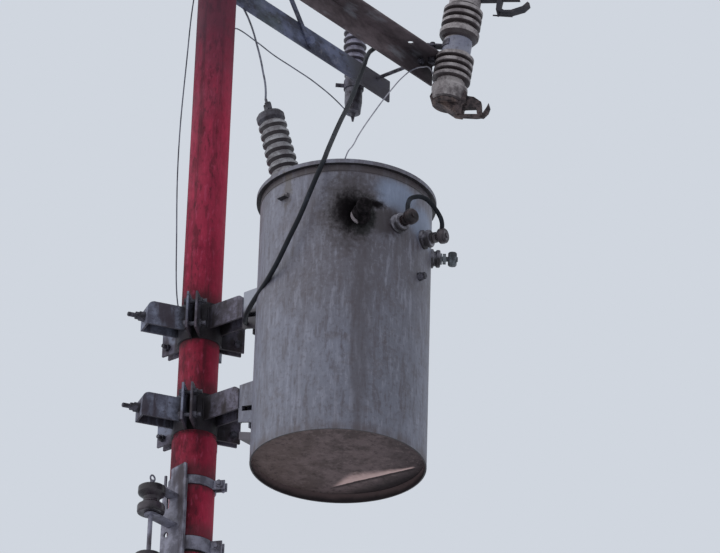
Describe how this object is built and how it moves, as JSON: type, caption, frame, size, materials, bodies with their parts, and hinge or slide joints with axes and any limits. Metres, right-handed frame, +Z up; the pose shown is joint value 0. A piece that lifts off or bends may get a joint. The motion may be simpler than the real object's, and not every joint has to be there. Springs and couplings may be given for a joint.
{
  "type": "pole mounted transformer",
  "caption": "Steel pole with cluster clamps carrying a round transformer tank, a double crossarm with open cutouts and arresters, and a spool rack for the secondary lines.",
  "frame": {"origin": "centre of the pole's foot, at ground level", "axes": "+Z up along the pole; the tank hangs towards -Y; the crossarm runs along X"},
  "size_m": [2.0822, 1.0826, 8.7],
  "materials": {
    "red_pole_paint": "weathered crimson enamel over steel",
    "clamp_steel": "dull weathered grey steel with dark stains",
    "dark_fasteners": "dark weathered bolts and nuts",
    "tank_paint": "weathered light grey enamel",
    "rusty_base": "rusty brown",
    "grey_porcelain": "grey glazed porcelain with dirt",
    "bushing_porcelain": "grey glazed porcelain",
    "arrester_porcelain": "grey violet glazed porcelain",
    "rusty_crossarm": "rusted galvanised angle",
    "galvanised_steel": "dull galvanised",
    "contact_metal": "tarnished and rusty",
    "brown_glaze": "dark brown glazed porcelain",
    "black_cable": "black sheath",
    "bare_wire": "weathered bare wire"
  },
  "bodies": {
    "root": {"pole_lower": "red_pole_paint", "pole_upper": "red_pole_paint", "upper_clamp_front": "clamp_steel", "upper_clamp_left": "clamp_steel", "upper_clamp_right": "clamp_steel", "lower_clamp_front": "clamp_steel", "lower_clamp_left": "clamp_steel", "lower_clamp_right": "clamp_steel", "clamp_bolts": "dark_fasteners", "hanger_bolts": "dark_fasteners", "tank_shell": "tank_paint", "tank_base": "rusty_base", "tank_lid": "tank_paint", "tank_lugs": "tank_paint", "lifting_lugs": "tank_paint", "pressure_plug": "dark_fasteners", "hv_bushing_left": "grey_porcelain", "hv_bushing_right": "grey_porcelain", "lv_bushing_1": "bushing_porcelain", "lv_bushing_2": "bushing_porcelain", "lv_bushing_3": "bushing_porcelain", "lv_bushing_4": "bushing_porcelain", "crossarm_front": "rusty_crossarm", "crossarm_rear": "galvanised_steel", "crossarm_saddles": "galvanised_steel", "crossarm_bolts": "dark_fasteners", "crossarm_braces": "galvanised_steel", "cutout_insulator_left": "grey_porcelain", "cutout_insulator_right": "grey_porcelain", "cutout_contacts_left": "contact_metal", "cutout_contacts_right": "contact_metal", "cutout_brackets": "galvanised_steel", "arrester_left": "arrester_porcelain", "arrester_right": "arrester_porcelain", "arrester_brackets": "galvanised_steel", "rack_channel": "galvanised_steel", "rack_spools": "brown_glaze", "rack_rod": "galvanised_steel", "rack_bands": "galvanised_steel", "hv_lead_left": "bare_wire", "hv_lead_right": "bare_wire", "lv_jumper": "black_cable", "arrester_lead": "arrester_porcelain", "bonding_cable": "black_cable", "ground_wire": "bare_wire"}
  },
  "joints": []
}
